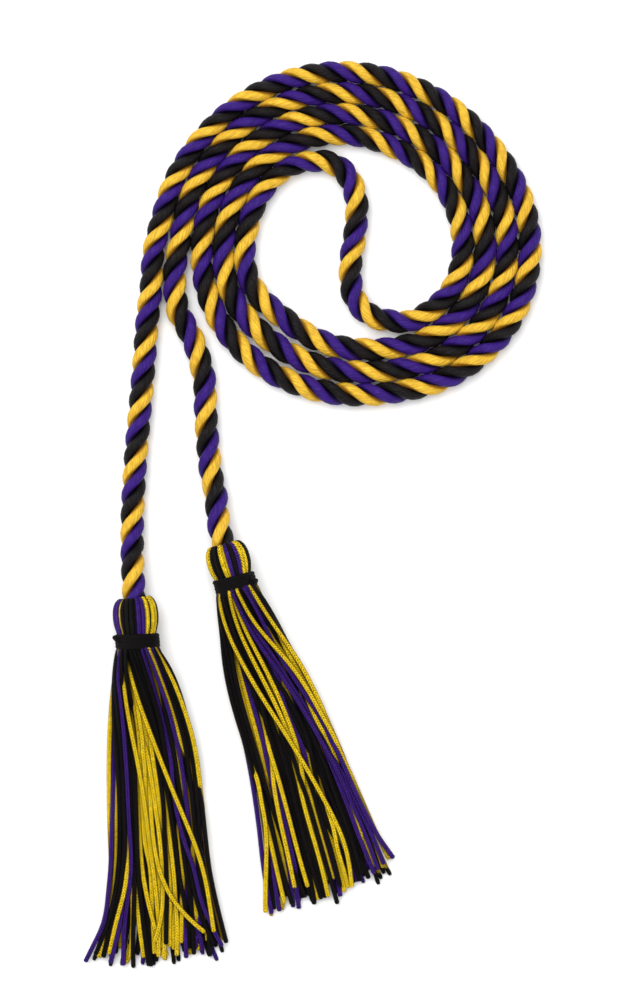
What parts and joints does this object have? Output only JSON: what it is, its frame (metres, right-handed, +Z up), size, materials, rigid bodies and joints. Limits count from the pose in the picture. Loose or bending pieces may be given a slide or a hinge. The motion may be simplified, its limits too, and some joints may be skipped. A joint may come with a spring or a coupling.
{
  "type": "honor cord",
  "caption": "Twisted three-strand honor cord, doubled and wound into a flat double spiral, with a bound yarn tassel on each end, lying on a surface.",
  "frame": {"origin": "middle of the outline, on the surface that the cord lies on", "axes": "+X right and +Y up the page as the cord lies, tassels towards -Y; +Z up from the surface"},
  "size_m": [0.1562, 0.3144, 0.0162],
  "materials": {
    "black_strand": "soft satin twist of black rayon filaments",
    "purple_strand": "satin twist of purple rayon filaments",
    "gold_strand": "satin twist of gold rayon filaments",
    "tassel_yarn": "knitted chainette yarn in lemon gold, purple and black",
    "binding_yarn": "matte black chainette yarn wound tight"
  },
  "bodies": {
    "root": {"strand_black": "black_strand", "strand_purple": "purple_strand", "strand_gold": "gold_strand", "tassel_left": "tassel_yarn", "tassel_right": "tassel_yarn", "binding_left": "binding_yarn", "binding_right": "binding_yarn"}
  },
  "joints": []
}
